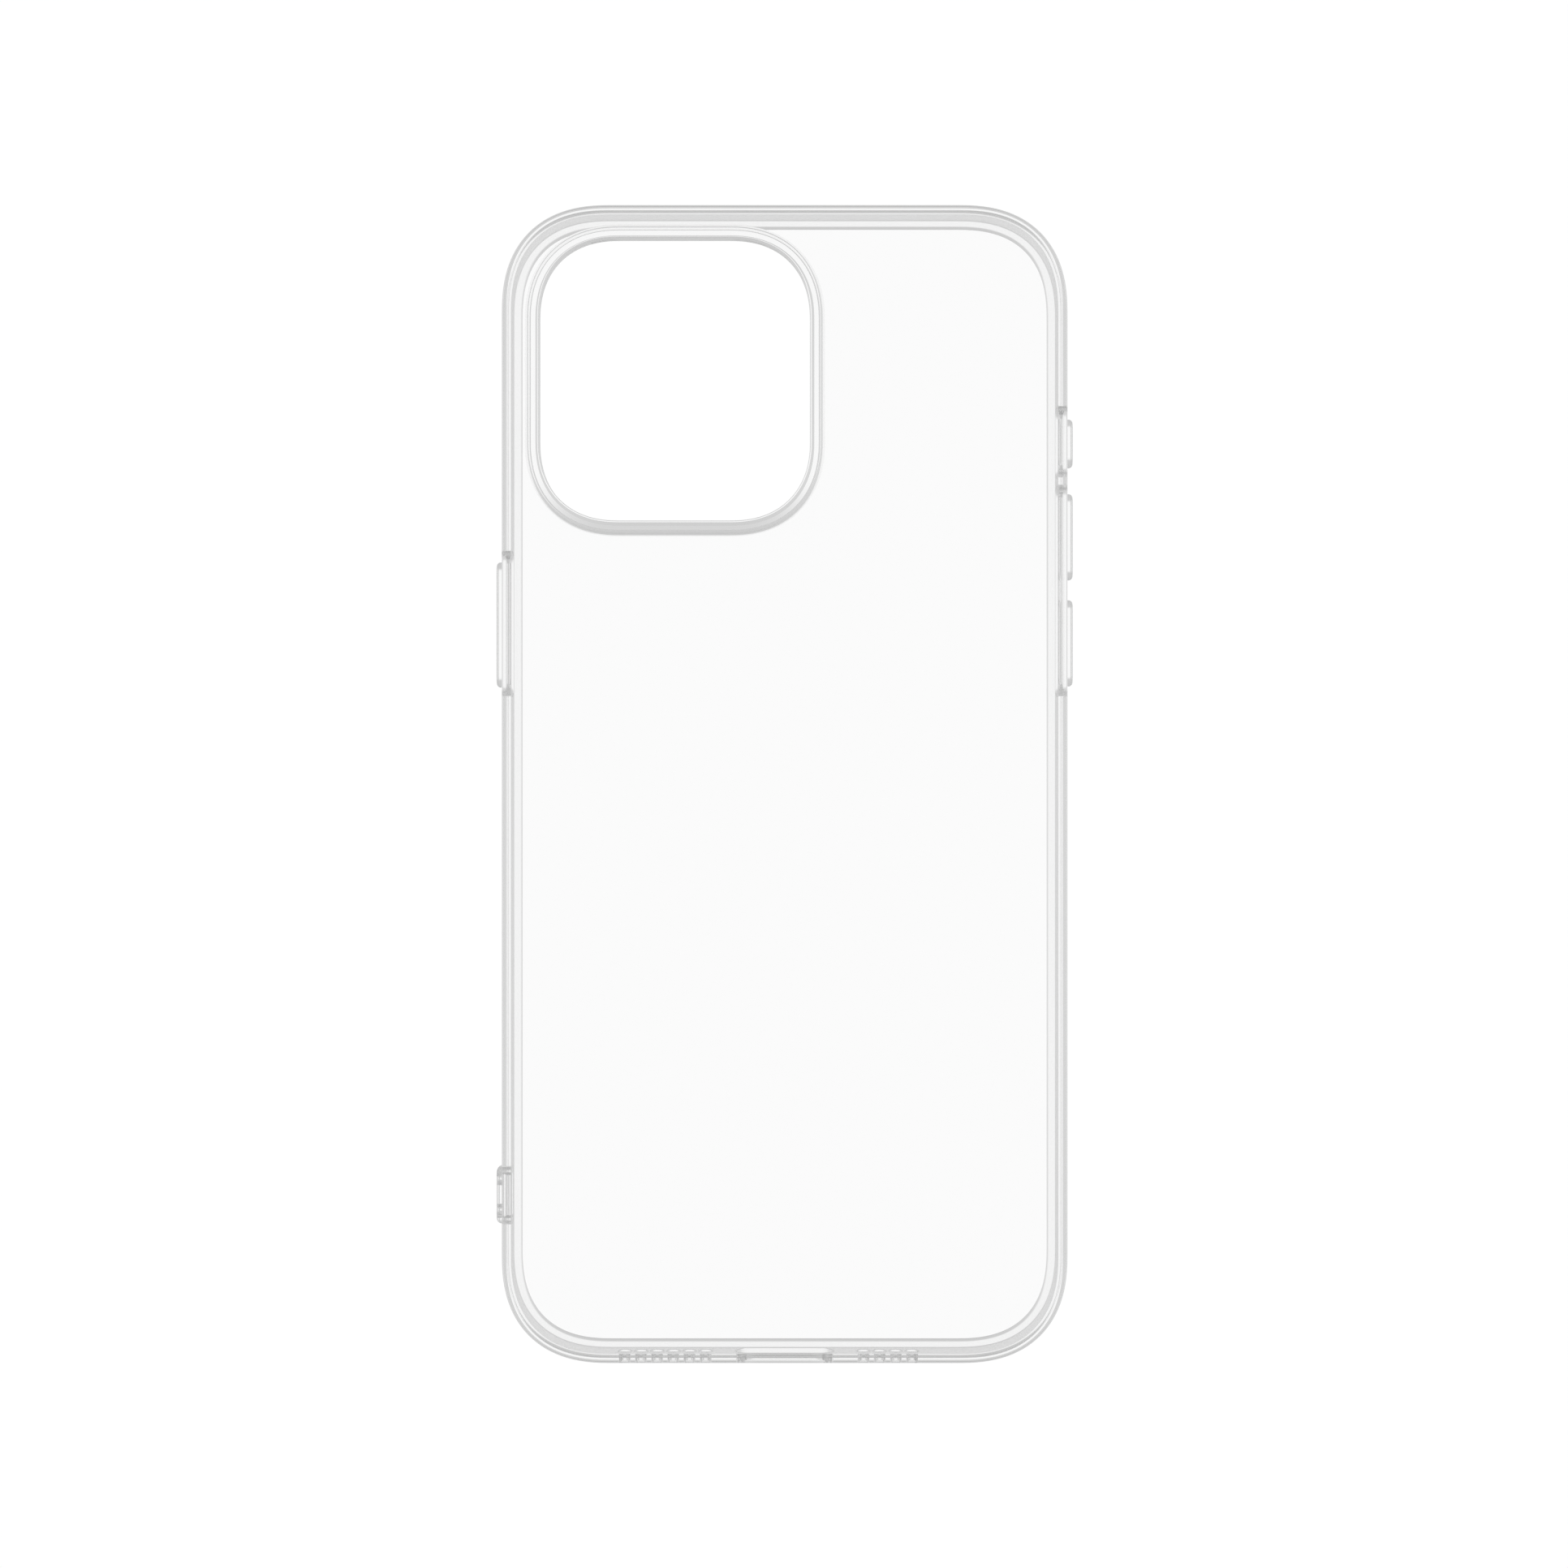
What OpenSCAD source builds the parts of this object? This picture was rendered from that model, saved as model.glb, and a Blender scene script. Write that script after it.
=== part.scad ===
// Clear protective phone case: a rigid back plate held in a soft bumper frame, with a raised camera ring,
// four sprung buttons on thin flexing webs and a strap bar.
// It lies face down: the front lip rests at z = 0, the back faces +Z and the camera end is +Y.

/* [Phone] */
// Width of the phone that the case holds
phone_w = 76.7; // [70:0.1:82]
// Length of the phone
phone_l = 159.9; // [150:0.1:168]
// Thickness of the phone
phone_t = 8.25; // [7.8:0.05:9]
// Play between the phone and the case, on each side
play = 0.1; // [0:0.05:0.3]

/* [Shell] */
// Thickness of the side walls
wall = 1.3; // [1.2:0.1:1.8]
// Radius of the outer corners, seen from the back
corner_r = 13.1; // [11:0.1:16]
// Thickness of the back plate
plate_t = 1.3; // [1.2:0.1:1.8]
// Height of the front lip over the screen
lip_t = 1.1; // [1.1:0.1:1.6]
// How far the front lip reaches in over the screen
lip_reach = 1.15; // [0.6:0.05:1.5]
// Radius of the lip's inner edge
lip_edge_r = 0.5; // [0.2:0.05:0.5]
// Radius of the frame's front outer edge
front_edge_r = 1; // [0.6:0.1:1.2]
// Radius of the frame's back outer edge
back_edge_r = 0.95; // [0.6:0.05:1]

/* [Joint between plate and frame] */
// Width of the ledge that the plate's edge sits on
seat = 0.3; // [0.1:0.05:0.35]
// How far the plate's tongue reaches into the frame
tongue_reach = 0.5; // [0.4:0.05:0.6]
// Thickness of the plate's tongue
tongue_t = 0.55; // [0.4:0.05:0.7]

/* [Camera ring] */
// Width of the camera window
window_w = 37.9; // [30:0.1:40]
// Length of the camera window
window_l = 39.5; // [30:0.1:42]
// Radius of the window's corners
window_r = 10.1; // [6:0.1:12]
// Centre of the window, across from the middle of the case
window_x = -15.4; // [-16:0.1:-12]
// Centre of the window, along from the middle of the case
window_y = 56.6; // [50:0.1:57]
// Height of the ring above the back plate
ring_h = 2.6; // [1.5:0.1:3.5]
// Width of the ring's wall
ring_wall = 1.7; // [1.4:0.1:1.8]
// Width of the part of the ring that lines the plate
ring_neck = 0.9; // [0.6:0.1:1.1]
// Radius of the hollow skirt round the ring
skirt_r = 0.4; // [0.2:0.1:1.2]
// Radius of the ring's two top edges
ring_edge_r = 0.6; // [0.3:0.1:0.6]

/* [Buttons] */
// Height of the buttons
button_h = 3.4; // [2.8:0.1:4]
// How far the buttons stand out of the wall
button_proud = 0.95; // [0.4:0.05:1.1]
// How far a button's plug reaches behind its web
button_behind = 0.15; // [0.1:0.05:0.2]
// Radius of a button's rounded outer edge
button_edge_r = 0.8; // [0.3:0.05:0.9]
// Length and place along the case of the side button
side_button = [17.7, 22.5]; // [10:0.1:60]
// Length and place along the case of the action button
action_button = [6.9, 48.1]; // [5:0.1:60]
// Length and place along the case of the volume up button
volume_up = [12.2, 34.9]; // [10:0.1:60]
// Length and place along the case of the volume down button
volume_down = [12.2, 19.9]; // [10:0.1:60]

/* [Webs] */
// Thickness of the flexing webs round the buttons
web_t = 0.6; // [0.4:0.05:0.7]
// Height of the webs
web_h = 6; // [5:0.1:6.4]
// Radius of the webs' corners
web_r = 2; // [1:0.1:2.4]
// Slit between a button and its web
slit = 0.05; // [0.03:0.01:0.1]
// Ends of the side button's web, along the case
side_web = [12.4, 32.9]; // [8:0.1:60]
// Ends of the action button's web
action_web = [43.3, 53.3]; // [40:0.1:60]
// Ends of the web that both volume buttons share
volume_web = [12.4, 42.2]; // [8:0.1:60]

/* [Strap bar] */
// Place of the strap bar along the case
strap_y = -58; // [-62:0.1:-40]
// Length of the strap bar
strap_l = 8.1; // [7.6:0.1:10]
// Height of the strap bar
strap_h = 4.6; // [4:0.1:6]
// How far the strap bar stands out of the wall
strap_proud = 0.9; // [0.3:0.05:1]
// Radius of the strap bar's rounded outer edge
strap_edge_r = 0.7; // [0.3:0.1:0.9]
// Spacing of the two cord holes
cord_spacing = 4.4; // [4:0.1:5]
// Diameter of the cord holes
cord_d = 1.8; // [1.4:0.1:2]
// Depth of the hollow behind the bar, where the cord runs
cord_depth = 1.15; // [0.6:0.05:1.2]

/* [Bottom openings] */
// Width of the charging port's opening
port_w = 13.7; // [12:0.1:16]
// Height of the charging port's opening
port_h = 6.5; // [5.5:0.1:6.8]
// Width of a sound slot
slot_w = 1.65; // [1.2:0.05:1.7]
// Height of a sound slot
slot_h = 2.6; // [2:0.1:4]
// Spacing of the sound slots
slot_pitch = 2.28; // [2.2:0.01:2.6]
// Middle of the row of six slots
six_slots_x = -16.85; // [-20:0.05:-14]
// Middle of the row of four slots
four_slots_x = 14.55; // [12:0.05:20]

/* [Hidden] */
$fn = 96;
cavity_w = phone_w + 2 * play;
cavity_l = phone_l + 2 * play;
case_w = cavity_w + 2 * wall;
case_l = cavity_l + 2 * wall;
plate_z = lip_t + phone_t + 0.05;
back_z = plate_z + plate_t;
mid_z = lip_t + phone_t / 2;
cavity_r = corner_r - wall;
past = 0.5;
pad_corner_r = 1.2;
hollow_h = cord_d + 0.2;
hollow_r = 0.4;

// A rectangle with round corners, about its centre
module rounded_rect(w, l, r) {
    square([w - 2 * r, l], center = true);
    square([w, l - 2 * r], center = true);
    for (x = [-1, 1], y = [-1, 1])
        translate([x * (w / 2 - r), y * (l / 2 - r)])
            circle(r);
}

// Carries a profile round a rounded rectangle. The profile's x runs outward from the corners' centres.
module carry_round(w, l, r) {
    for (q = [0 : 3]) {
        across = (q % 2 == 0 ? w : l) / 2 - r;
        along = (q % 2 == 0 ? l : w) / 2 - r;
        rotate([0, 0, 90 * q]) {
            translate([across, along, 0])
                rotate_extrude(angle = 90)
                    children();
            translate([across, 0, 0])
                rotate([90, 0, 0])
                    linear_extrude(height = 2 * along, center = true)
                        children();
        }
    }
}

// What a round edge of radius r takes off a square corner that points to +X +Y
module edge_waste(r) {
    difference() {
        square(r + past);
        circle(r);
    }
}

// Pushes a flat shape, drawn along Y and Z, through the side wall: side is 1 for +X and -1 for -X
module through_side(side, depth_in, proud) {
    start = case_w / 2 - depth_in;
    rotate([0, 0, side > 0 ? 0 : 180])
        translate([start, 0, mid_z])
            rotate([90, 0, 90])
                linear_extrude(height = depth_in + proud)
                    mirror([side > 0 ? 0 : 1, 0, 0])
                        children();
}

// Pushes a flat shape, drawn along X and Z, through the bottom wall
module through_bottom() {
    translate([0, -case_l / 2 + wall + past, mid_z])
        rotate([90, 0, 0])
            linear_extrude(height = wall + 2 * past)
                children();
}

// The outline of a web from one end to the other, along Y
module web_outline(ends) {
    translate([(ends[0] + ends[1]) / 2, 0])
        rounded_rect(ends[1] - ends[0], web_h, web_r);
}

// The outline of a button or, with a slit added, of the hole that it moves in
module button_outline(size, extra) {
    translate([size[1], 0])
        rounded_rect(size[0] + 2 * extra, button_h + 2 * extra, button_h / 2 + extra - 0.01);
}

module strap_outline() {
    translate([strap_y, 0])
        rounded_rect(strap_l, strap_h, pad_corner_r);
}

// A row of sound slots in the bottom wall
module slot_row(middle_x, count) {
    for (i = [0 : count - 1])
        translate([middle_x + (i - (count - 1) / 2) * slot_pitch, 0])
            rounded_rect(slot_w, slot_h, slot_w / 2 - 0.01);
}

// The frame's cross-section: a wall, its rounded back edge, the ledge and groove for the plate,
// and the front lip
module frame_profile() {
    difference() {
        union() {
            translate([corner_r - wall, 0])
                square([wall, back_z]);
            translate([corner_r - wall - lip_reach, lip_edge_r])
                square([lip_reach + past, lip_t - 2 * lip_edge_r]);
            translate([corner_r - wall - lip_reach + lip_edge_r, 0])
                square([lip_reach, lip_t]);
            for (z = [lip_edge_r, lip_t - lip_edge_r])
                translate([corner_r - wall - lip_reach + lip_edge_r, z])
                    circle(lip_edge_r);
        }
        translate([corner_r - wall - past, plate_z])
            square([past + tongue_reach, tongue_t]);
        translate([corner_r - wall - past, plate_z])
            square([past + seat, plate_t + past]);
        translate([corner_r - back_edge_r, back_z - back_edge_r])
            edge_waste(back_edge_r);
        translate([corner_r - front_edge_r, front_edge_r])
            mirror([0, 1])
                edge_waste(front_edge_r);
    }
}

module bumper_frame() {
    color("gainsboro", 0.4)
        difference() {
            carry_round(case_w, case_l, corner_r)
                frame_profile();
            through_side(-1, wall + past, past)
                web_outline(side_web);
            through_side(1, wall + past, past)
                web_outline(action_web);
            through_side(1, wall + past, past)
                web_outline(volume_web);
            through_side(-1, wall + past, past)
                strap_outline();
            through_bottom()
                rounded_rect(port_w, port_h, port_h / 2 - 0.01);
            through_bottom()
                slot_row(six_slots_x, 6);
            through_bottom()
                slot_row(four_slots_x, 4);
        }
}

// The rigid plate: its lower half is wider and its edge is the tongue in the frame's groove
module back_plate() {
    neck_w = window_w + 2 * ring_neck;
    neck_l = window_l + 2 * ring_neck;
    color("whitesmoke", 0.3)
        difference() {
            union() {
                translate([0, 0, plate_z])
                    linear_extrude(height = tongue_t)
                        rounded_rect(
                            cavity_w + 2 * tongue_reach,
                            cavity_l + 2 * tongue_reach,
                            cavity_r + tongue_reach
                        );
                translate([0, 0, plate_z + tongue_t / 2])
                    linear_extrude(height = plate_t - tongue_t / 2)
                        rounded_rect(cavity_w + 2 * seat, cavity_l + 2 * seat, cavity_r + seat);
            }
            translate([window_x, window_y, plate_z - past])
                linear_extrude(height = plate_t + 2 * past)
                    rounded_rect(neck_w, neck_l, window_r + ring_neck);
        }
}

// The ring's cross-section: a neck through the plate, the raised wall and a hollow skirt at its foot
module ring_profile() {
    outer = window_r + ring_wall;
    top = back_z + ring_h;
    foot_t = 0.06;
    difference() {
        union() {
            translate([window_r, plate_z])
                square([ring_neck, plate_t + ring_h]);
            translate([window_r, back_z])
                square([ring_wall, ring_h]);
            translate([window_r, back_z])
                square([ring_wall + skirt_r, skirt_r + foot_t]);
        }
        translate([outer + skirt_r, back_z + skirt_r + foot_t])
            circle(skirt_r);
        translate([outer - ring_edge_r, top - ring_edge_r])
            edge_waste(ring_edge_r);
        translate([window_r + ring_edge_r, top - ring_edge_r])
            mirror([1, 0])
                edge_waste(ring_edge_r);
    }
}

module camera_ring() {
    color("lightgray", 0.5)
        translate([window_x, window_y, 0])
            carry_round(window_w, window_l, window_r)
                ring_profile();
}

// Rounds the outer edge of what stands out of a side wall, at its ends and along its length
module round_cap(side, size, height, proud, edge_r) {
    intersection() {
        children();
        // rounded ends, seen from the back
        translate([side * (case_w / 2 + proud - 2), size[1], 0])
            linear_extrude(height = back_z)
                rounded_rect(4, size[0], edge_r);
        // rounded long edges, seen from the camera end
        translate([side * (case_w / 2 + proud - 2), size[1] + size[0], mid_z])
            rotate([90, 0, 0])
                linear_extrude(height = 2 * size[0])
                    rounded_rect(4, height, edge_r);
    }
}

// A button: a stadium-shaped plug with a rounded outer edge
module button(side, size) {
    round_cap(side, size, button_h, button_proud, button_edge_r)
        through_side(side, web_t + button_behind, button_proud)
            button_outline(size, 0);
}

// A thin web that fills its window in the frame and has a hole for each button
module web(side, ends, buttons) {
    through_side(side, web_t, 0)
        difference() {
            web_outline(ends);
            for (size = buttons)
                button_outline(size, slit);
        }
}

module side_button() {
    color("silver", 0.5)
        button(-1, side_button);
}

module side_button_web() {
    color("aliceblue", 0.4)
        web(-1, side_web, [side_button]);
}

module action_button() {
    color("silver", 0.5)
        button(1, action_button);
}

module action_button_web() {
    color("aliceblue", 0.4)
        web(1, action_web, [action_button]);
}

module volume_up_button() {
    color("silver", 0.5)
        button(1, volume_up);
}

module volume_down_button() {
    color("silver", 0.5)
        button(1, volume_down);
}

module volume_buttons_web() {
    color("aliceblue", 0.4)
        web(1, volume_web, [volume_up, volume_down]);
}

// The bar that a strap's cord loops round: a raised pad with two holes, hollowed behind for the cord
module strap_bar() {
    color("silver", 0.5)
        difference() {
            round_cap(-1, [strap_l, strap_y], strap_h, strap_proud, strap_edge_r)
                through_side(-1, wall, strap_proud)
                    strap_outline();
            through_side(-1, wall + past, strap_proud + past)
                for (side = [-1, 1])
                    translate([strap_y + side * cord_spacing / 2, 0])
                        circle(d = cord_d);
            through_side(-1, wall + past, cord_depth - wall)
                translate([strap_y, 0])
                    rounded_rect(cord_spacing + hollow_h, hollow_h, hollow_r);
        }
}

back_plate();
bumper_frame();
camera_ring();
side_button();
side_button_web();
action_button();
action_button_web();
volume_up_button();
volume_down_button();
volume_buttons_web();
strap_bar();
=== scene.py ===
"""A clear phone case: a hard back plate in a soft frame, with a camera ring, buttons and a strap bar."""

import math

import bpy
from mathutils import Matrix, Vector
from mathutils.geometry import tessellate_polygon


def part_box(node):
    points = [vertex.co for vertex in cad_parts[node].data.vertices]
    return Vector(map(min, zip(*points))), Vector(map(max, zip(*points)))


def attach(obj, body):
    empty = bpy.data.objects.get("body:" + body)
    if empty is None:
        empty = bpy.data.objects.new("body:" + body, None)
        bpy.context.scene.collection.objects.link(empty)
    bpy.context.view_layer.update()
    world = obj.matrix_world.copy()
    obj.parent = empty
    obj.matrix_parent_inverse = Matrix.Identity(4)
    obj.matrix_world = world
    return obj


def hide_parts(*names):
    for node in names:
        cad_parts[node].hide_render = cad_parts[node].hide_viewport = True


bl_info = {
    "name": "Clear Phone Case",
    "version": (1, 0, 0),
    "blender": (4, 5, 0),
    "location": "View3D > Sidebar > Phone Case",
    "description": "Builds a clear phone case, piece by piece, round its design frame",
    "category": "Add Mesh",
}

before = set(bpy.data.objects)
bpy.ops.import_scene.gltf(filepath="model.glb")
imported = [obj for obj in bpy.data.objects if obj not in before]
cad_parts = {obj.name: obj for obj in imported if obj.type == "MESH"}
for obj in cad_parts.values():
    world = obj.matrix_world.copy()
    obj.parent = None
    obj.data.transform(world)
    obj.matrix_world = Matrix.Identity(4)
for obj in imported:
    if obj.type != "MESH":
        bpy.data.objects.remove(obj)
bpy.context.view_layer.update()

MM = 0.001
SLIT = 0.01 * MM  # air left between pieces that are bonded on the real case
CORNER_STEPS = 28
HOLE_STEPS = 10
EDGE_STEPS = 8
FINE_EDGE_STEPS = 12
RIM_STEPS = 5


# ---------------------------------------------------------------- sizes and finishes


class CaseSizes(bpy.types.PropertyGroup):
    """Sizes of the case that its pieces share"""

    wall: bpy.props.FloatProperty(
        name="Wall",
        description="Thickness of the side walls",
        default=1.3 * MM,
        unit="LENGTH",
        precision=5,
    )
    lip_height: bpy.props.FloatProperty(
        name="Lip height",
        description="Height of the front lip",
        default=1.1 * MM,
        unit="LENGTH",
        precision=5,
    )
    lip_reach: bpy.props.FloatProperty(
        name="Lip reach",
        description="How far the lip comes in",
        default=1.15 * MM,
        unit="LENGTH",
        precision=5,
    )
    lip_round: bpy.props.FloatProperty(
        name="Lip round",
        description="Radius of the lip's inner edge",
        default=0.5 * MM,
        unit="LENGTH",
        precision=5,
    )
    back_round: bpy.props.FloatProperty(
        name="Back round",
        description="Radius of the back outer edge",
        default=0.98 * MM,
        unit="LENGTH",
        precision=5,
    )
    front_round: bpy.props.FloatProperty(
        name="Front round",
        description="Radius of the front outer edge",
        default=1.0 * MM,
        unit="LENGTH",
        precision=5,
    )
    tongue_reach: bpy.props.FloatProperty(
        name="Tongue",
        description="Reach of the plate's tongue",
        default=0.5 * MM,
        unit="LENGTH",
        precision=5,
    )
    tongue_height: bpy.props.FloatProperty(
        name="Tongue height",
        description="Thickness of the tongue",
        default=0.55 * MM,
        unit="LENGTH",
        precision=5,
    )
    seat: bpy.props.FloatProperty(
        name="Seat",
        description="Width of the ledge under the plate's edge",
        default=0.3 * MM,
        unit="LENGTH",
        precision=5,
    )
    corner_reach: bpy.props.FloatProperty(
        name="Corner",
        description="Length of a corner's curve",
        default=15.25 * MM,
        unit="LENGTH",
        precision=5,
    )
    corner_power: bpy.props.FloatProperty(
        name="Corner power", description="Fullness of a corner's curve; 2 is a circle", default=2.4
    )


class ButtonSizes(bpy.types.PropertyGroup):
    """Sizes of the buttons and of the windows that their webs close"""

    height: bpy.props.FloatProperty(
        name="Button height",
        description="Height of the buttons",
        default=3.4 * MM,
        unit="LENGTH",
        precision=5,
    )
    edge_round: bpy.props.FloatProperty(
        name="Button round",
        description="Radius of a button's edge",
        default=0.55 * MM,
        unit="LENGTH",
        precision=5,
    )
    inner_round: bpy.props.FloatProperty(
        name="Inner round",
        description="Radius of a button's inner edge",
        default=0.1 * MM,
        unit="LENGTH",
        precision=5,
    )
    hole_corner: bpy.props.FloatProperty(
        name="Hole corner",
        description="Corner radius of a button's hole",
        default=1.7 * MM,
        unit="LENGTH",
        precision=5,
    )
    window_corner: bpy.props.FloatProperty(
        name="Window corner",
        description="Corner radius of a web",
        default=2.0 * MM,
        unit="LENGTH",
        precision=5,
    )
    window_round: bpy.props.FloatProperty(
        name="Window round",
        description="Radius of a window's inner rim",
        default=0.25 * MM,
        unit="LENGTH",
        precision=5,
    )


class OpeningSizes(bpy.types.PropertyGroup):
    """Sizes of the charging port and the sound slots in the bottom wall"""

    middle: bpy.props.FloatProperty(
        name="Middle",
        description="Height of the openings' middle",
        default=5.225 * MM,
        unit="LENGTH",
        precision=5,
    )
    port_length: bpy.props.FloatProperty(
        name="Port length",
        description="Length of the charging port",
        default=13.7 * MM,
        unit="LENGTH",
        precision=5,
    )
    port_height: bpy.props.FloatProperty(
        name="Port height",
        description="Height of the charging port",
        default=6.5 * MM,
        unit="LENGTH",
        precision=5,
    )
    slot_width: bpy.props.FloatProperty(
        name="Slot width",
        description="Width of a sound slot",
        default=1.65 * MM,
        unit="LENGTH",
        precision=5,
    )
    slot_height: bpy.props.FloatProperty(
        name="Slot height",
        description="Height of a sound slot",
        default=2.6 * MM,
        unit="LENGTH",
        precision=5,
    )
    slot_pitch: bpy.props.FloatProperty(
        name="Slot pitch",
        description="Distance from slot to slot",
        default=2.28 * MM,
        unit="LENGTH",
        precision=5,
    )
    left_row: bpy.props.FloatProperty(
        name="Left row",
        description="Middle of the row of six slots",
        default=-16.85 * MM,
        unit="LENGTH",
        precision=5,
    )
    right_row: bpy.props.FloatProperty(
        name="Right row",
        description="Middle of the row of four slots",
        default=14.55 * MM,
        unit="LENGTH",
        precision=5,
    )
    outer_round: bpy.props.FloatProperty(
        name="Outer round",
        description="Radius of an opening's outer rim",
        default=0.25 * MM,
        unit="LENGTH",
        precision=5,
    )
    inner_round: bpy.props.FloatProperty(
        name="Inner round",
        description="Radius of an opening's inner rim",
        default=0.15 * MM,
        unit="LENGTH",
        precision=5,
    )


class StrapSizes(bpy.types.PropertyGroup):
    """Sizes of the strap bar"""

    pad_corner: bpy.props.FloatProperty(
        name="Pad corner",
        description="Corner radius of the pad",
        default=1.2 * MM,
        unit="LENGTH",
        precision=5,
    )
    edge_round: bpy.props.FloatProperty(
        name="Pad round",
        description="Radius of the pad's outer edge",
        default=0.7 * MM,
        unit="LENGTH",
        precision=5,
    )
    hole_radius: bpy.props.FloatProperty(
        name="Hole radius",
        description="Radius of a cord hole",
        default=0.9 * MM,
        unit="LENGTH",
        precision=5,
    )
    hole_spacing: bpy.props.FloatProperty(
        name="Hole spacing",
        description="Distance between the cord holes",
        default=4.4 * MM,
        unit="LENGTH",
        precision=5,
    )
    rim_round: bpy.props.FloatProperty(
        name="Rim round",
        description="Radius of a cord hole's rim",
        default=0.2 * MM,
        unit="LENGTH",
        precision=5,
    )
    hollow_depth: bpy.props.FloatProperty(
        name="Hollow depth",
        description="Depth of the hollow behind the bar",
        default=1.15 * MM,
        unit="LENGTH",
        precision=5,
    )
    hollow_play: bpy.props.FloatProperty(
        name="Hollow play",
        description="Hollow's room beyond the holes",
        default=0.1 * MM,
        unit="LENGTH",
        precision=5,
    )
    hollow_corner: bpy.props.FloatProperty(
        name="Hollow corner",
        description="Corner radius of the hollow",
        default=0.4 * MM,
        unit="LENGTH",
        precision=5,
    )


class RingSizes(bpy.types.PropertyGroup):
    """Sizes of the camera ring"""

    neck: bpy.props.FloatProperty(
        name="Neck",
        description="Width of the part in the plate",
        default=0.9 * MM,
        unit="LENGTH",
        precision=5,
    )
    width: bpy.props.FloatProperty(
        name="Width",
        description="Width of the raised wall",
        default=1.7 * MM,
        unit="LENGTH",
        precision=5,
    )
    hem: bpy.props.FloatProperty(
        name="Hem",
        description="Height of the skirt's upright edge",
        default=0.05 * MM,
        unit="LENGTH",
        precision=5,
    )
    skirt: bpy.props.FloatProperty(
        name="Skirt",
        description="Radius of the hollow skirt",
        default=0.4 * MM,
        unit="LENGTH",
        precision=5,
    )
    inner_round: bpy.props.FloatProperty(
        name="Inner round",
        description="Radius of the inner top edge",
        default=0.25 * MM,
        unit="LENGTH",
        precision=5,
    )
    outer_round: bpy.props.FloatProperty(
        name="Outer round",
        description="Radius of the outer top edge",
        default=0.4 * MM,
        unit="LENGTH",
        precision=5,
    )
    corner_reach: bpy.props.FloatProperty(
        name="Corner",
        description="Length of a window corner's curve",
        default=11.25 * MM,
        unit="LENGTH",
        precision=5,
    )
    corner_power: bpy.props.FloatProperty(
        name="Corner power", description="Fullness of a window corner's curve", default=2.3
    )
    slope: bpy.props.FloatProperty(
        name="Slope",
        description="How steeply the crest falls outward",
        default=math.radians(27),
        subtype="ANGLE",
    )


class CaseFinish(bpy.types.PropertyGroup):
    """Colours and optical values of the clear plastics"""

    soft_tint: bpy.props.FloatVectorProperty(
        name="Soft tint",
        description="Colour of the soft plastic",
        subtype="COLOR",
        size=3,
        default=(0.96, 0.96, 0.96),
    )
    hard_tint: bpy.props.FloatVectorProperty(
        name="Hard tint",
        description="Colour of the hard plastic",
        subtype="COLOR",
        size=3,
        default=(1, 1, 1),
    )
    soft_ior: bpy.props.FloatProperty(
        name="Soft index",
        description="Refraction of the soft plastic",
        default=1.49,
    )
    hard_ior: bpy.props.FloatProperty(
        name="Hard index",
        description="Refraction of the hard plastic",
        default=1.56,
    )


class StageLight(bpy.types.PropertyGroup):
    """The floor, the light tent round the case, and the camera above it"""

    floor_reach: bpy.props.FloatProperty(
        name="Floor reach", description="Half the floor's side", default=2.0, unit="LENGTH"
    )
    camera_height: bpy.props.FloatProperty(
        name="Camera height",
        description="Height of the camera",
        default=0.6830,
        unit="LENGTH",
        precision=5,
    )
    camera_lens: bpy.props.FloatProperty(
        name="Camera lens", description="Focal length of the camera, in millimetres", default=110.0
    )
    table: bpy.props.FloatProperty(
        name="Table",
        description="Brightness of the floor and of the lit table under the case",
        default=1.01,
    )
    table_across: bpy.props.FloatVectorProperty(
        name="Table across",
        description="Slopes where the lit table starts and ends to fade",
        size=2,
        default=(0.3, 0.8),
    )
    table_along: bpy.props.FloatVectorProperty(
        name="Table along", description="The same, along the case", size=2, default=(0.14, 0.35)
    )
    low: bpy.props.FloatProperty(
        name="Low",
        description="Brightness of the tent below the case",
        default=0.69,
    )
    high: bpy.props.FloatProperty(
        name="High",
        description="Brightness of the tent above the case",
        default=0.52,
    )
    horizon: bpy.props.FloatProperty(
        name="Horizon",
        description="Half the band over which the tent changes from low to high",
        default=0.16,
    )
    sides: bpy.props.FloatProperty(
        name="Sides", description="How much brighter the tent's sides are than its ends", default=0.16
    )


# ---------------------------------------------------------------- outlines and profiles


def round_outline(half_a, half_b, reach, power=2.0, centre=(0.0, 0.0), steps=CORNER_STEPS):
    """Points (a, b, normal a, normal b) round a rectangle whose corners are superellipse quarters."""
    points = []
    for quarter in range(4):
        sign_a = 1 if quarter in (0, 3) else -1
        sign_b = 1 if quarter in (0, 1) else -1
        for i in range(steps + 1):
            turn = i / steps if quarter % 2 == 0 else 1 - i / steps
            cos, sin = math.cos(turn * math.pi / 2), math.sin(turn * math.pi / 2)
            u, v = max(cos, 0) ** (2 / power), max(sin, 0) ** (2 / power)
            nu, nv = u ** (power - 1), v ** (power - 1)
            size = math.hypot(nu, nv)
            points.append(
                (
                    centre[0] + sign_a * (half_a - reach + reach * u),
                    centre[1] + sign_b * (half_b - reach + reach * v),
                    sign_a * nu / size,
                    sign_b * nv / size,
                )
            )
    return points


def line(start, end):
    """A straight run of a profile that is drawn counter-clockwise, with its outward normal."""
    out, up = end[0] - start[0], end[1] - start[1]
    size = math.hypot(out, up)
    normal = (up / size, -out / size)
    return [(*start, *normal), (*end, *normal)]


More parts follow.
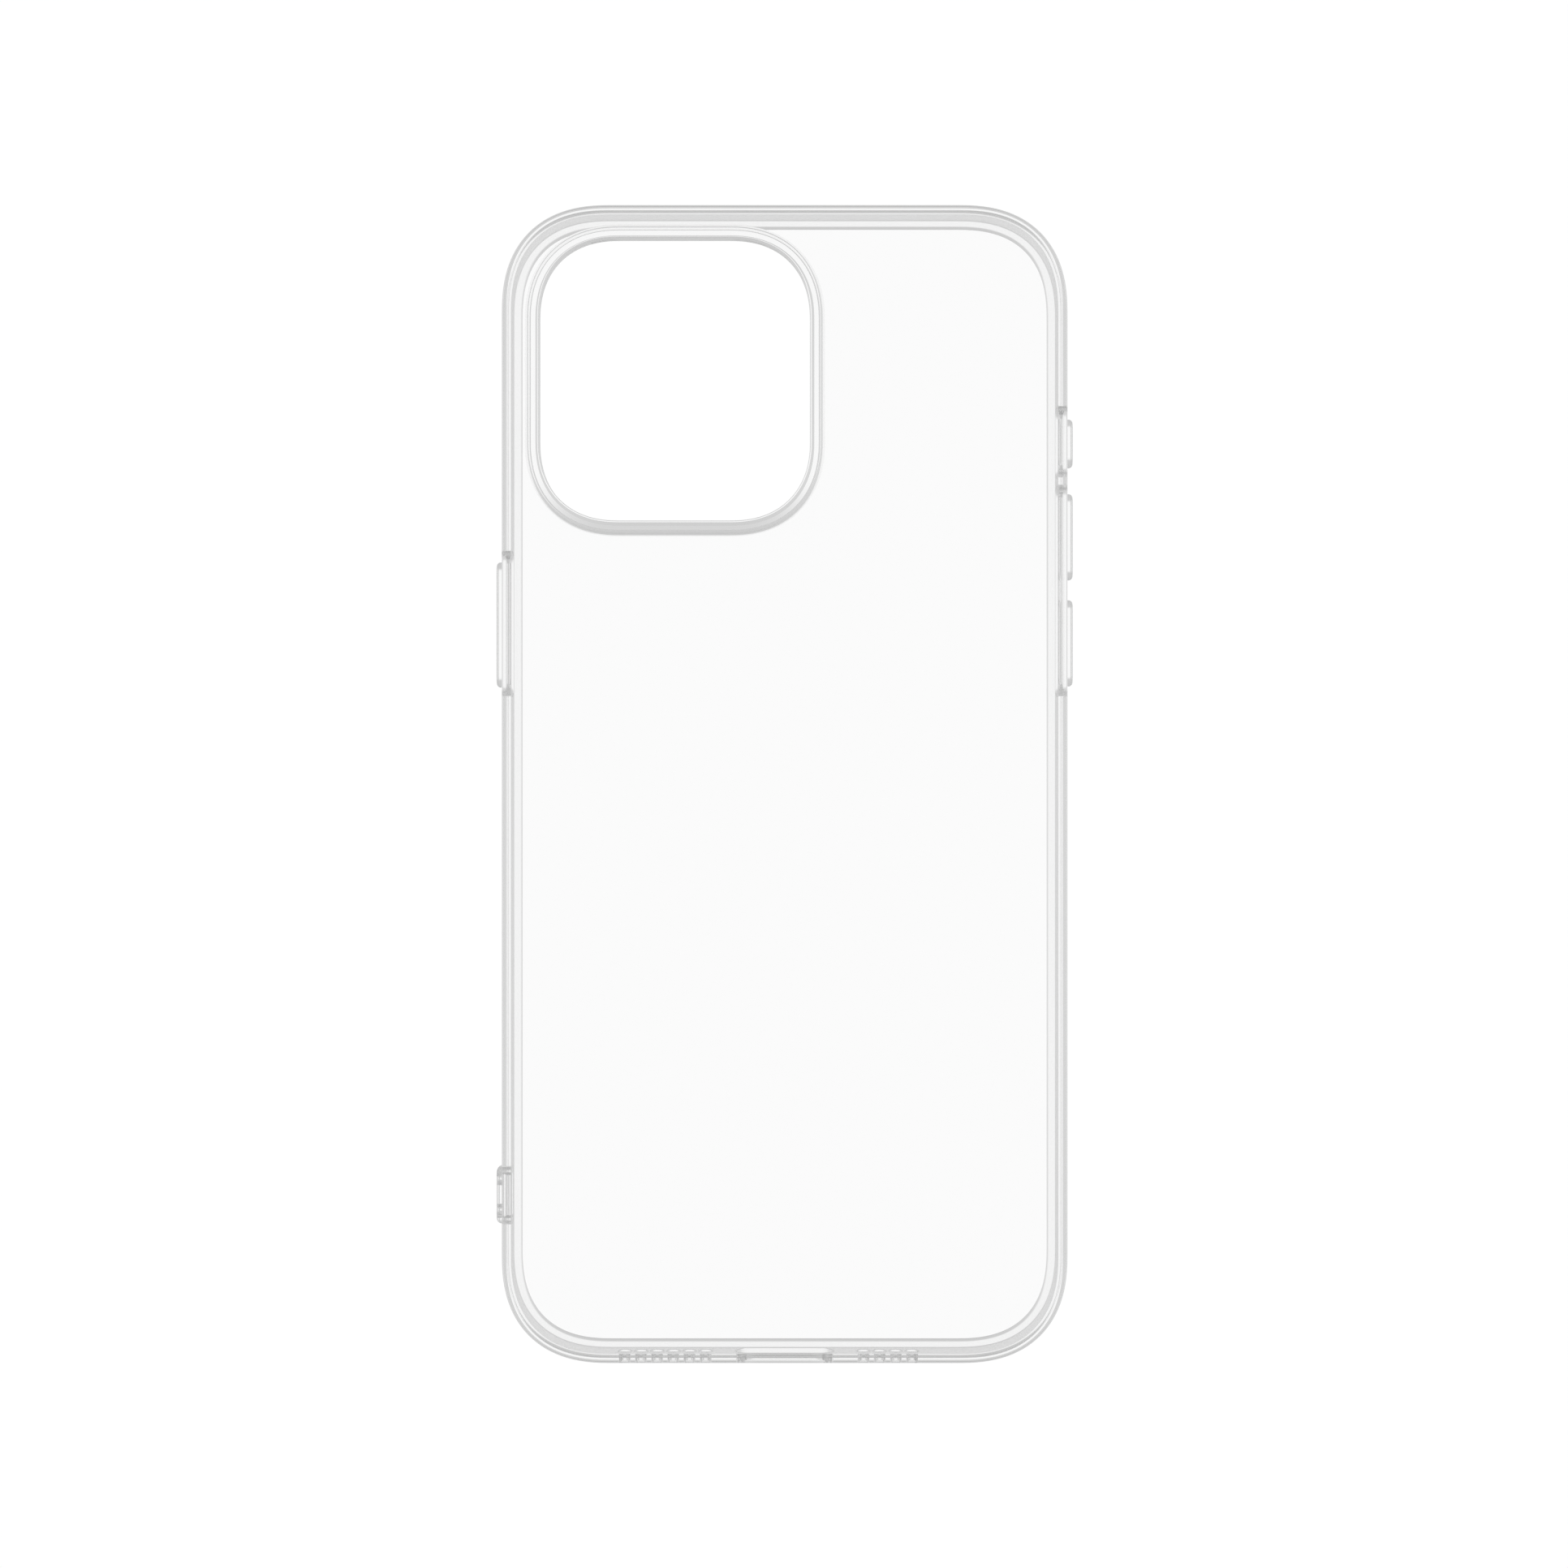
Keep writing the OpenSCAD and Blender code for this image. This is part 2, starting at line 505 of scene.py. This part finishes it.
def arc(centre, radius, first, last, hollow=False, steps=EDGE_STEPS):
    """A round run of a profile between two angles in degrees; a hollow one has its air on the inside."""
    side = -1 if hollow else 1
    points = []
    for i in range(steps + 1):
        turn = math.radians(first + (last - first) * i / steps)
        cos, sin = math.cos(turn), math.sin(turn)
        points.append((centre[0] + radius * cos, centre[1] + radius * sin, side * cos, side * sin))
    return points


class Skin:
    """Collects faces with a normal at each corner, and turns them into one closed mesh."""

    def __init__(self, axes=((1, 0, 0), (0, 1, 0), (0, 0, 1)), origin=(0, 0, 0)):
        self.axes = [Vector(axis) for axis in axes]
        self.origin = Vector(origin)
        self.index = {}
        self.points = []
        self.faces = []
        self.normals = []

    def place(self, a, b, c):
        """A point in the case's axes from one in the skin's own."""
        return self.origin + self.axes[0] * a + self.axes[1] * b + self.axes[2] * c

    def turn(self, a, b, c):
        """A direction in the case's axes from one in the skin's own."""
        return (self.axes[0] * a + self.axes[1] * b + self.axes[2] * c).normalized()

    def number(self, point):
        """The number of a point, which neighbouring faces share."""
        key = tuple(round(value * 2e7) for value in point)
        if key not in self.index:
            self.index[key] = len(self.points)
            self.points.append(point)
        return self.index[key]

    def face(self, corners, normals):
        """Adds one face in the skin's own axes, turned so that it looks the way its normals point."""
        places = [self.place(*corner) for corner in corners]
        turned = [self.turn(*normal) for normal in normals]
        kept, kept_normals = [], []
        for place, normal in zip(places, turned):
            number = self.number(place)
            if number not in kept:
                kept.append(number)
                kept_normals.append(normal)
        if len(kept) < 3:
            return
        ring = [self.points[number] for number in kept]
        spokes = [point - ring[0] for point in ring[1:]]
        facing = sum((one.cross(two) for one, two in zip(spokes, spokes[1:])), Vector())
        if facing.dot(sum(kept_normals, Vector())) < 0:
            kept.reverse()
            kept_normals.reverse()
        self.faces.append(kept)
        self.normals.append(kept_normals)

    def sweep(self, outline, runs, leave_out=None):
        """Carries a profile's runs round an outline. leave_out names, for a run, the gaps left in it."""
        count = len(outline)
        for number, run in enumerate(runs):
            for (o0, c0, n0, m0), (o1, c1, n1, m1) in zip(run, run[1:]):
                for i in range(count):
                    if leave_out and i in leave_out.get(number, ()):
                        continue
                    a0, b0, na0, nb0 = outline[i]
                    a1, b1, na1, nb1 = outline[(i + 1) % count]
                    corners = (
                        (a0 + na0 * o0, b0 + nb0 * o0, c0),
                        (a1 + na1 * o0, b1 + nb1 * o0, c0),
                        (a1 + na1 * o1, b1 + nb1 * o1, c1),
                        (a0 + na0 * o1, b0 + nb0 * o1, c1),
                    )
                    normals = (
                        (na0 * n0, nb0 * n0, m0),
                        (na1 * n0, nb1 * n0, m0),
                        (na1 * n1, nb1 * n1, m1),
                        (na0 * n1, nb0 * n1, m1),
                    )
                    self.face(corners, normals)

    def fill(self, loops, height, facing):
        """Fills the flat face between an outer loop and the loops inside it. facing is 1 or -1 along c."""
        flat = [[Vector((a, b, 0)) for a, b in loop] for loop in loops]
        joined = [point for loop in flat for point in loop]
        for triangle in tessellate_polygon(flat):
            corners = [(joined[i].x, joined[i].y, height) for i in triangle]
            self.face(corners, [(0, 0, facing)] * 3)

    def build(self, name):
        """The closed mesh as an object in the scene, with its own normals kept."""
        mesh = bpy.data.meshes.new(name)
        mesh.from_pydata([tuple(point) for point in self.points], [], self.faces)
        mesh.polygons.foreach_set("use_smooth", [True] * len(mesh.polygons))
        mesh.normals_split_custom_set([tuple(n) for normals in self.normals for n in normals])
        mesh.update()
        piece = bpy.data.objects.new(name, mesh)
        bpy.context.scene.collection.objects.link(piece)
        return piece


def loop_at(outline, offset):
    """The outline moved outward by offset, as flat points."""
    return [(a + na * offset, b + nb * offset) for a, b, na, nb in outline]


def straight_spans(outline):
    """The numbers of the outline's four straight gaps: the top, left, bottom and right sides."""
    quarter = len(outline) // 4
    return [quarter * (i + 1) - 1 for i in range(4)]


def finish_piece(piece, node, body):
    """Stands a finished piece in for its design node: it rides its body."""
    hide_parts(node)
    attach(piece, body)
    for polygon in piece.data.polygons:
        polygon.use_smooth = True
    return piece


def case_outline(sizes):
    """The case's outer outline, seen from the back."""
    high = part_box("bumper_frame")[1]
    return round_outline(high[0], high[1], sizes.corner_reach, sizes.corner_power)


def window_outline(ring):
    """The camera window's outline, and with it the centre line of everything that goes round it."""
    low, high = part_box("camera_ring")
    spread = ring.width + ring.skirt
    half_a = (high[0] - low[0]) / 2 - spread
    half_b = (high[1] - low[1]) / 2 - spread
    centre = ((low[0] + high[0]) / 2, (low[1] + high[1]) / 2)
    return round_outline(half_a, half_b, ring.corner_reach, ring.corner_power, centre)


def side_axes(side):
    """Axes for a side wall: along the case, up, and outward."""
    return ((0, 1, 0), (0, 0, 1), (side, 0, 0))


BOTTOM_AXES = ((1, 0, 0), (0, 0, 1), (0, -1, 0))


def wall_faces(node):
    """How far from the case's middle a side wall's node starts and ends."""
    low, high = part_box(node)
    return sorted((abs(low[0]), abs(high[0])))


def box_outline(node, reach, extra=0.0, steps=HOLE_STEPS):
    """The outline of a node in a side wall, from its own box: a rectangle with round corners."""
    low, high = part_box(node)
    half_a, half_b = (high[1] - low[1]) / 2 + extra, (high[2] - low[2]) / 2 + extra
    centre = ((low[1] + high[1]) / 2, (low[2] + high[2]) / 2)
    return round_outline(half_a, half_b, min(reach, half_b), 2.0, centre, steps)


def tunnel(skin, outline, outer, inner, outer_round, inner_round):
    """The walls of a hole from its outer face to its inner face. Returns the two rims' loops."""
    runs = []
    if outer_round > 0:
        runs.append(arc((outer_round, outer - outer_round), outer_round, 90, 180, steps=RIM_STEPS))
    runs.append(line((0, outer - outer_round), (0, inner + inner_round)))
    if inner_round > 0:
        runs.append(arc((inner_round, inner + inner_round), inner_round, 180, 270, steps=RIM_STEPS))
    skin.sweep(outline, runs)
    return loop_at(outline, outer_round), loop_at(outline, inner_round)


# ---------------------------------------------------------------- materials


def clear_plastic(name, tint, ior, grain):
    """A clear moulded plastic: smooth, with a faint flow texture in its surface."""
    material = bpy.data.materials.new(name)
    material.use_nodes = True
    nodes, links = material.node_tree.nodes, material.node_tree.links
    shader = nodes["Principled BSDF"]
    shader.inputs["Base Color"].default_value = (*tint, 1)
    shader.inputs["Transmission Weight"].default_value = 1.0
    shader.inputs["IOR"].default_value = ior
    shader.inputs["Roughness"].default_value = 0.0
    coordinates = nodes.new("ShaderNodeTexCoord")
    flow = nodes.new("ShaderNodeTexNoise")
    flow.inputs["Scale"].default_value = 90.0
    flow.inputs["Detail"].default_value = 2.0
    flow.inputs["Roughness"].default_value = 0.4
    links.new(coordinates.outputs["Object"], flow.inputs["Vector"])
    bump = nodes.new("ShaderNodeBump")
    bump.inputs["Strength"].default_value = grain
    bump.inputs["Distance"].default_value = 0.02 * MM
    links.new(flow.outputs["Fac"], bump.inputs["Height"])
    links.new(bump.outputs["Normal"], shader.inputs["Normal"])
    return material


def material_for(key):
    """One material per material slot of the design record."""
    finish = bpy.context.scene.case_finish
    made = bpy.data.materials.get("finish_" + key)
    if made:
        return made
    recipes = {
        "clear_hard_plastic": (finish.hard_tint, finish.hard_ior, 0.02),
        "clear_soft_plastic": (finish.soft_tint, finish.soft_ior, 0.05),
        "clear_ring_plastic": (finish.soft_tint, finish.soft_ior, 0.05),
        "clear_button_plastic": (finish.soft_tint, finish.soft_ior, 0.08),
        "clear_web_plastic": (finish.soft_tint, finish.soft_ior, 0.08),
    }
    return clear_plastic("finish_" + key, *recipes[key])


# ---------------------------------------------------------------- pieces


class CASE_OT_back_plate(bpy.types.Operator):
    """Build the rigid clear back plate with its tongue and camera opening"""

    bl_idname = "case.back_plate"
    bl_label = "Back Plate"

    def execute(self, context):
        sizes, ring = context.scene.case_sizes, context.scene.case_ring
        low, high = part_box("back_plate")
        outline, window = case_outline(sizes), window_outline(ring)
        neck = -sizes.wall + sizes.seat - SLIT
        tongue = -sizes.wall + sizes.tongue_reach - SLIT
        bottom, shelf, top = low[2] + SLIT, low[2] + sizes.tongue_height - SLIT, high[2]
        skin = Skin()
        skin.sweep(
            outline,
            [
                line((tongue, bottom), (tongue, shelf)),
                line((tongue, shelf), (neck, shelf)),
                line((neck, shelf), (neck, top)),
            ],
        )
        skin.sweep(window, [line((ring.neck, top), (ring.neck, bottom))])
        skin.fill([loop_at(outline, neck), loop_at(window, ring.neck)], top, 1)
        skin.fill([loop_at(outline, tongue), loop_at(window, ring.neck)], bottom, -1)
        piece = skin.build("clear_back_plate")
        piece.data.materials.append(material_for("clear_hard_plastic"))
        finish_piece(piece, "back_plate", "case")
        return {"FINISHED"}


class CASE_OT_bumper_frame(bpy.types.Operator):
    """Build the soft frame: walls, rounded back edge, groove, front lip and every opening"""

    bl_idname = "case.bumper_frame"
    bl_label = "Bumper Frame"

    def execute(self, context):
        sizes, buttons = context.scene.case_sizes, context.scene.case_buttons
        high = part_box("bumper_frame")[1]
        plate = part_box("back_plate")[0][2]
        top, wall, lip = high[2], sizes.wall, sizes.lip_height
        curl, front, back = sizes.lip_round, sizes.front_round, sizes.back_round
        rim = -wall - sizes.lip_reach
        seam, groove = -wall + sizes.seat, -wall + sizes.tongue_reach
        shelf = plate + sizes.tongue_height
        outline = case_outline(sizes)
        runs = [
            line((rim + curl, 0), (-front, 0)),
            arc((-front, front), front, -90, 0),
            line((0, front), (0, top - back)),
            arc((-back, top - back), back, 0, 90, steps=FINE_EDGE_STEPS),
            line((-back, top), (seam, top)),
            line((seam, top), (seam, shelf)),
            line((seam, shelf), (groove, shelf)),
            line((groove, shelf), (groove, plate)),
            line((groove, plate), (-wall, plate)),
            line((-wall, plate), (-wall, lip)),
            line((-wall, lip), (rim + curl, lip)),
            arc((rim + curl, lip - curl), curl, 90, 180),
            line((rim, lip - curl), (rim, curl)),
            arc((rim + curl, curl), curl, 180, 270),
        ]
        outer_run, inner_run = 2, 9
        pierced = straight_spans(outline)[1:]
        skin = Skin()
        skin.sweep(outline, runs, {outer_run: pierced, inner_run: pierced})
        for side in (-1, 1):
            skin.axes = [Vector(axis) for axis in side_axes(side)]
            windows = [box_outline(node, buttons.window_corner) for node in self.webs(side)]
            holes = [(window, 0.0, buttons.window_round) for window in windows]
            if side < 0:
                holes.append((box_outline("strap_bar", context.scene.case_strap.pad_corner), 0.0, 0.0))
            reach = high[1] - sizes.corner_reach
            self.pierce(skin, holes, reach, high[0], wall, (front, top - back), (lip, plate))
        skin.axes = [Vector(axis) for axis in BOTTOM_AXES]
        reach = high[0] - sizes.corner_reach
        openings = context.scene.case_openings
        rounds = openings.outer_round, openings.inner_round
        holes = [(opening, *rounds) for opening in self.bottom_outlines(openings)]
        self.pierce(skin, holes, reach, high[1], wall, (front, top - back), (lip, plate))
        piece = skin.build("clear_bumper_frame")
        piece.data.materials.append(material_for("clear_soft_plastic"))
        finish_piece(piece, "bumper_frame", "case")
        return {"FINISHED"}

    def webs(self, side):
        """The webs in one side wall."""
        return ["side_button_web"] if side < 0 else ["action_button_web", "volume_buttons_web"]

    def bottom_outlines(self, openings):
        """The charging port and the two rows of sound slots."""
        half_port, half_height = openings.port_length / 2, openings.port_height / 2
        centre = (0, openings.middle)
        outlines = [round_outline(half_port, half_height, half_height, 2.0, centre, FINE_EDGE_STEPS)]
        half_slot, half_rise = openings.slot_width / 2, openings.slot_height / 2
        for row_middle, count in ((openings.left_row, 6), (openings.right_row, 4)):
            for i in range(count):
                centre = (row_middle + (i - (count - 1) / 2) * openings.slot_pitch, openings.middle)
                outlines.append(round_outline(half_slot, half_rise, half_slot, 2.0, centre, EDGE_STEPS))
        return outlines

    def pierce(self, skin, holes, reach, outer, wall, outer_ends, inner_ends):
        """The flat outer and inner faces of one straight wall, with holes through it."""
        outer_loops = [self.strip(reach, outer_ends)]
        inner_loops = [self.strip(reach, inner_ends)]
        for outline, outer_round, inner_round in holes:
            rims = tunnel(skin, outline, outer, outer - wall, outer_round, inner_round)
            outer_loops.append(rims[0])
            inner_loops.append(rims[1])
        skin.fill(outer_loops, outer, 1)
        skin.fill(inner_loops, outer - wall, -1)

    def strip(self, reach, ends):
        """The outline of a straight wall's flat face between its rounded ends."""
        return [(-reach, ends[0]), (reach, ends[0]), (reach, ends[1]), (-reach, ends[1])]


def crest_runs(ring, top):
    """The ring's crest: a rounded outer edge, a slope up to the inner side, and a rounded inner edge."""
    inner, outer, rise = ring.inner_round, ring.outer_round, math.tan(ring.slope)
    low = top - (ring.width - inner) * rise
    centre = (ring.width - outer, low + outer * rise - outer / math.cos(ring.slope))
    edge = arc(centre, outer, 0, 90 - math.degrees(ring.slope))
    return [edge, line(edge[-1][:2], (inner, top)), arc((inner, top - inner), inner, 90, 180)]


class CASE_OT_camera_ring(bpy.types.Operator):
    """Build the raised ring round the camera window, with its neck and hollow skirt"""

    bl_idname = "case.camera_ring"
    bl_label = "Camera Ring"

    def execute(self, context):
        ring = context.scene.case_ring
        low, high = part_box("camera_ring")
        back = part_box("back_plate")[1][2]
        foot, top = back + SLIT, high[2]
        width, spread, neck = ring.width, ring.width + ring.skirt, ring.neck - SLIT
        hem = foot + ring.hem
        crest = crest_runs(ring, top)
        runs = [
            line((0, low[2]), (neck, low[2])),
            line((neck, low[2]), (neck, foot)),
            line((neck, foot), (spread, foot)),
            line((spread, foot), (spread, hem)),
            arc((spread, hem + ring.skirt), ring.skirt, 270, 180, hollow=True, steps=HOLE_STEPS),
            line((width, hem + ring.skirt), crest[0][0][:2]),
            *crest,
            line((0, top - ring.inner_round), (0, low[2])),
        ]
        skin = Skin()
        skin.sweep(window_outline(ring), runs)
        piece = skin.build("clear_camera_ring")
        piece.data.materials.append(material_for("clear_ring_plastic"))
        finish_piece(piece, "camera_ring", "case")
        return {"FINISHED"}


class CASE_OT_webs(bpy.types.Operator):
    """Build the thin flexing webs round the buttons"""

    bl_idname = "case.webs"
    bl_label = "Button Webs"

    def execute(self, context):
        sizes = context.scene.case_buttons
        groups = (
            ("side_button_web", -1, ("side_button",)),
            ("action_button_web", 1, ("action_button",)),
            ("volume_buttons_web", 1, ("volume_up_button", "volume_down_button")),
        )
        for node, side, buttons in groups:
            inner, outer = wall_faces(node)
            skin = Skin(side_axes(side))
            edge = box_outline(node, sizes.window_corner)
            skin.sweep(edge, [line((-SLIT, inner), (-SLIT, outer))])
            outer_loops, inner_loops = [loop_at(edge, -SLIT)], [loop_at(edge, -SLIT)]
            for button in buttons:
                hole = box_outline(button, sizes.hole_corner, 2 * SLIT, FINE_EDGE_STEPS)
                rims = tunnel(skin, hole, outer, inner, 0.0, 0.0)
                outer_loops.append(rims[0])
                inner_loops.append(rims[1])
            skin.fill(outer_loops, outer, 1)
            skin.fill(inner_loops, inner, -1)
            piece = skin.build("clear_" + node)
            piece.data.materials.append(material_for("clear_web_plastic"))
            finish_piece(piece, node, "case")
        return {"FINISHED"}


class CASE_OT_buttons(bpy.types.Operator):
    """Build the four clear buttons with their rounded edges"""

    bl_idname = "case.buttons"
    bl_label = "Buttons"

    def execute(self, context):
        sizes = context.scene.case_buttons
        groups = (
            ("side_button", -1),
            ("action_button", 1),
            ("volume_up_button", 1),
            ("volume_down_button", 1),
        )
        for node, side in groups:
            inner, outer = wall_faces(node)
            curl, back_curl = sizes.edge_round, sizes.inner_round
            outline = box_outline(node, sizes.height / 2, steps=FINE_EDGE_STEPS)
            skin = Skin(side_axes(side))
            skin.sweep(
                outline,
                [
                    arc((-back_curl, inner + back_curl), back_curl, -90, 0, steps=4),
                    line((0, inner + back_curl), (0, outer - curl)),
                    arc((-curl, outer - curl), curl, 0, 90),
                ],
            )
            skin.fill([loop_at(outline, -curl)], outer, 1)
            skin.fill([loop_at(outline, -back_curl)], inner, -1)
            piece = skin.build("clear_" + node)
            piece.data.materials.append(material_for("clear_button_plastic"))
            finish_piece(piece, node, node)
        return {"FINISHED"}


class CASE_OT_strap_bar(bpy.types.Operator):
    """Build the strap bar: a raised pad with two cord holes and a hollow behind the bar"""

    bl_idname = "case.strap_bar"
    bl_label = "Strap Bar"

    def execute(self, context):
        strap = context.scene.case_strap
        low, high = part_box("strap_bar")
        inner, outer = wall_faces("strap_bar")
        along, middle = (low[1] + high[1]) / 2, (low[2] + high[2]) / 2
        radius, half_spacing, curl = strap.hole_radius, strap.hole_spacing / 2, strap.edge_round
        floor = inner + strap.hollow_depth
        skin = Skin(side_axes(-1))
        pad = box_outline("strap_bar", strap.pad_corner, -SLIT)
        skin.sweep(
            pad,
            [
                line((0, inner), (0, outer - curl)),
                arc((-curl, outer - curl), curl, 0, 90),
            ],
        )
        outer_loops, floor_loops = [loop_at(pad, -curl)], []
        for side in (-1, 1):
            centre = (along + side * half_spacing, middle)
            hole = round_outline(radius, radius, radius, 2.0, centre, HOLE_STEPS)
            rims = tunnel(skin, hole, outer, floor, strap.rim_round, 0.0)
            outer_loops.append(rims[0])
            floor_loops.append(rims[1])
        reach = radius + strap.hollow_play
        centre = (along, middle)
        hollow = round_outline(half_spacing + reach, reach, strap.hollow_corner, 2.0, centre, HOLE_STEPS)
        skin.sweep(hollow, [line((0, floor), (0, inner))])
        skin.fill(outer_loops, outer, 1)
        skin.fill([loop_at(hollow, 0), *floor_loops], floor, -1)
        skin.fill([loop_at(pad, 0), loop_at(hollow, 0)], inner, -1)
        piece = skin.build("clear_strap_bar")
        piece.data.materials.append(material_for("clear_button_plastic"))
        finish_piece(piece, "strap_bar", "case")
        return {"FINISHED"}


# ---------------------------------------------------------------- stage


def work_out(tree, operation, first, second=None):
    """A math node on one or two values, each a socket or a number. Returns its output."""
    node = tree.nodes.new("ShaderNodeMath")
    node.operation = operation
    for slot, value in enumerate((first, second)):
        if isinstance(value, bpy.types.NodeSocket):
            tree.links.new(value, node.inputs[slot])
        elif value is not None:
            node.inputs[slot].default_value = value
    return node.outputs[0]


def fade(tree, value, span, start, end):
    """A soft change from start to end while the value crosses the span."""
    node = tree.nodes.new("ShaderNodeMapRange")
    node.interpolation_type = "SMOOTHSTEP"
    tree.links.new(value, node.inputs["Value"])
    settings = ("From Min", span[0]), ("From Max", span[1]), ("To Min", start), ("To Max", end)
    for name, number in settings:
        node.inputs[name].default_value = number
    return node.outputs["Result"]


class CASE_OT_stage(bpy.types.Operator):
    """Build the pale floor, the soft studio light and the camera above the case"""

    bl_idname = "case.stage"
    bl_label = "Stage"

    def execute(self, context):
        scene = context.scene
        self.build_floor(scene)
        self.build_light(scene)
        self.build_camera(scene)
        scene.view_settings.view_transform = "Standard"
        # light is trapped in clear plastic for a long way, and turns black where it is cut off
        bounces = 128
        scene.cycles.max_bounces = bounces
        scene.cycles.transmission_bounces = bounces
        scene.cycles.glossy_bounces = bounces
        return {"FINISHED"}

    def build_floor(self, scene):
        """A plain pale floor just under the case."""
        reach = scene.stage_light.floor_reach
        mesh = bpy.data.meshes.new("floor")
        corners = [(-reach, -reach, 0), (reach, -reach, 0), (reach, reach, 0), (-reach, reach, 0)]
        mesh.from_pydata(corners, [], [(0, 1, 2, 3)])
        floor = bpy.data.objects.new("floor", mesh)
        floor.location.z = -2 * SLIT
        scene.collection.objects.link(floor)
        material = bpy.data.materials.new("pale_floor")
        material.use_nodes = True
        shader = material.node_tree.nodes["Principled BSDF"]
        shader.inputs["Base Color"].default_value = (0.0, 0.0, 0.0, 1)
        shader.inputs["Roughness"].default_value = 1.0
        shader.inputs["Specular IOR Level"].default_value = 0.0
        shader.inputs["Emission Color"].default_value = (1, 1, 1, 1)
        shader.inputs["Emission Strength"].default_value = scene.stage_light.table
        mesh.materials.append(material)
        # light that comes through the case is bounded by the tent's own lit table instead
        floor.visible_transmission = False
        floor.visible_glossy = False
        floor.visible_diffuse = False

    def build_light(self, scene):
        """A white tent by direction: a lit table straight below, plainer walls, and a darker top."""
        light = scene.stage_light
        world = bpy.data.worlds.new("studio")
        scene.world = world
        world.use_nodes = True
        tree = world.node_tree
        coordinates = tree.nodes.new("ShaderNodeTexCoord")
        parts = tree.nodes.new("ShaderNodeSeparateXYZ")
        tree.links.new(coordinates.outputs["Generated"], parts.inputs["Vector"])
        x, y, z = parts.outputs["X"], parts.outputs["Y"], parts.outputs["Z"]

        tent = fade(tree, z, (-light.horizon, light.horizon), light.low, light.high)
        lean = work_out(tree, "SUBTRACT", work_out(tree, "ABSOLUTE", x), work_out(tree, "ABSOLUTE", y))
        sides = work_out(tree, "ADD", work_out(tree, "MULTIPLY", lean, light.sides), 1.0)
        tent = work_out(tree, "MULTIPLY", tent, sides)

        # a direction's slopes away from straight down; the least value keeps clear of dividing by nothing
        down = work_out(tree, "MAXIMUM", work_out(tree, "MULTIPLY", z, -1.0), 0.001)
        across = work_out(tree, "ABSOLUTE", work_out(tree, "DIVIDE", x, down))
        along = work_out(tree, "ABSOLUTE", work_out(tree, "DIVIDE", y, down))
        lit_across = fade(tree, across, light.table_across, 1.0, 0.0)
        lit_along = fade(tree, along, light.table_along, 1.0, 0.0)
        table = work_out(tree, "MULTIPLY", lit_across, lit_along)

        # light that was mirrored inside the plastic sees the tent's wall in place of the lit table
        path = tree.nodes.new("ShaderNodeLightPath")
        unmirrored = fade(tree, path.outputs["Glossy Depth"], (0.0, 1.0), 1.0, 0.0)
        table = work_out(tree, "MULTIPLY", table, unmirrored)
        lift = work_out(tree, "MULTIPLY", table, work_out(tree, "SUBTRACT", light.table, tent))
        background = tree.nodes["Background"]
        background.inputs["Color"].default_value = (1, 1, 1, 1)
        tree.links.new(work_out(tree, "ADD", tent, lift), background.inputs["Strength"])

    def build_camera(self, scene):
        """A camera straight above the case."""
        data = bpy.data.cameras.new("camera")
        data.sensor_width = 36.0
        data.lens = scene.stage_light.camera_lens
        data.clip_start = 0.01
        camera = bpy.data.objects.new("camera", data)
        camera.location = (-0.09 * MM, 0.01 * MM, scene.stage_light.camera_height)
        scene.collection.objects.link(camera)
        scene.camera = camera


# ---------------------------------------------------------------- panel and main


class CASE_PT_panel(bpy.types.Panel):
    """Sizes, finishes and buttons for the clear phone case"""

    bl_label = "Clear Phone Case"
    bl_space_type = "VIEW_3D"
    bl_region_type = "UI"
    bl_category = "Phone Case"

    def draw(self, context):
        layout = self.layout
        for name, _ in GROUPS:
            group = getattr(context.scene, name)
            box = layout.box()
            for setting in group.__annotations__:
                box.prop(group, setting)
        for operator in OPERATORS:
            layout.operator(operator.bl_idname)


OPERATORS = (
    CASE_OT_back_plate,
    CASE_OT_bumper_frame,
    CASE_OT_camera_ring,
    CASE_OT_webs,
    CASE_OT_buttons,
    CASE_OT_strap_bar,
    CASE_OT_stage,
)
GROUPS = (
    ("case_sizes", CaseSizes),
    ("case_buttons", ButtonSizes),
    ("case_openings", OpeningSizes),
    ("case_strap", StrapSizes),
    ("case_ring", RingSizes),
    ("case_finish", CaseFinish),
    ("stage_light", StageLight),
)
CLASSES = (*(group for _, group in GROUPS), *OPERATORS, CASE_PT_panel)


def register():
    for cls in CLASSES:
        bpy.utils.register_class(cls)
    for name, group in GROUPS:
        setattr(bpy.types.Scene, name, bpy.props.PointerProperty(type=group))


def unregister():
    for name, _ in GROUPS:
        delattr(bpy.types.Scene, name)
    for cls in reversed(CLASSES):
        bpy.utils.unregister_class(cls)


def main():
    register()
    bpy.ops.case.back_plate()
    bpy.ops.case.bumper_frame()
    bpy.ops.case.camera_ring()
    bpy.ops.case.webs()
    bpy.ops.case.buttons()
    bpy.ops.case.strap_bar()
    bpy.ops.case.stage()


if __name__ == "__main__":
    main()
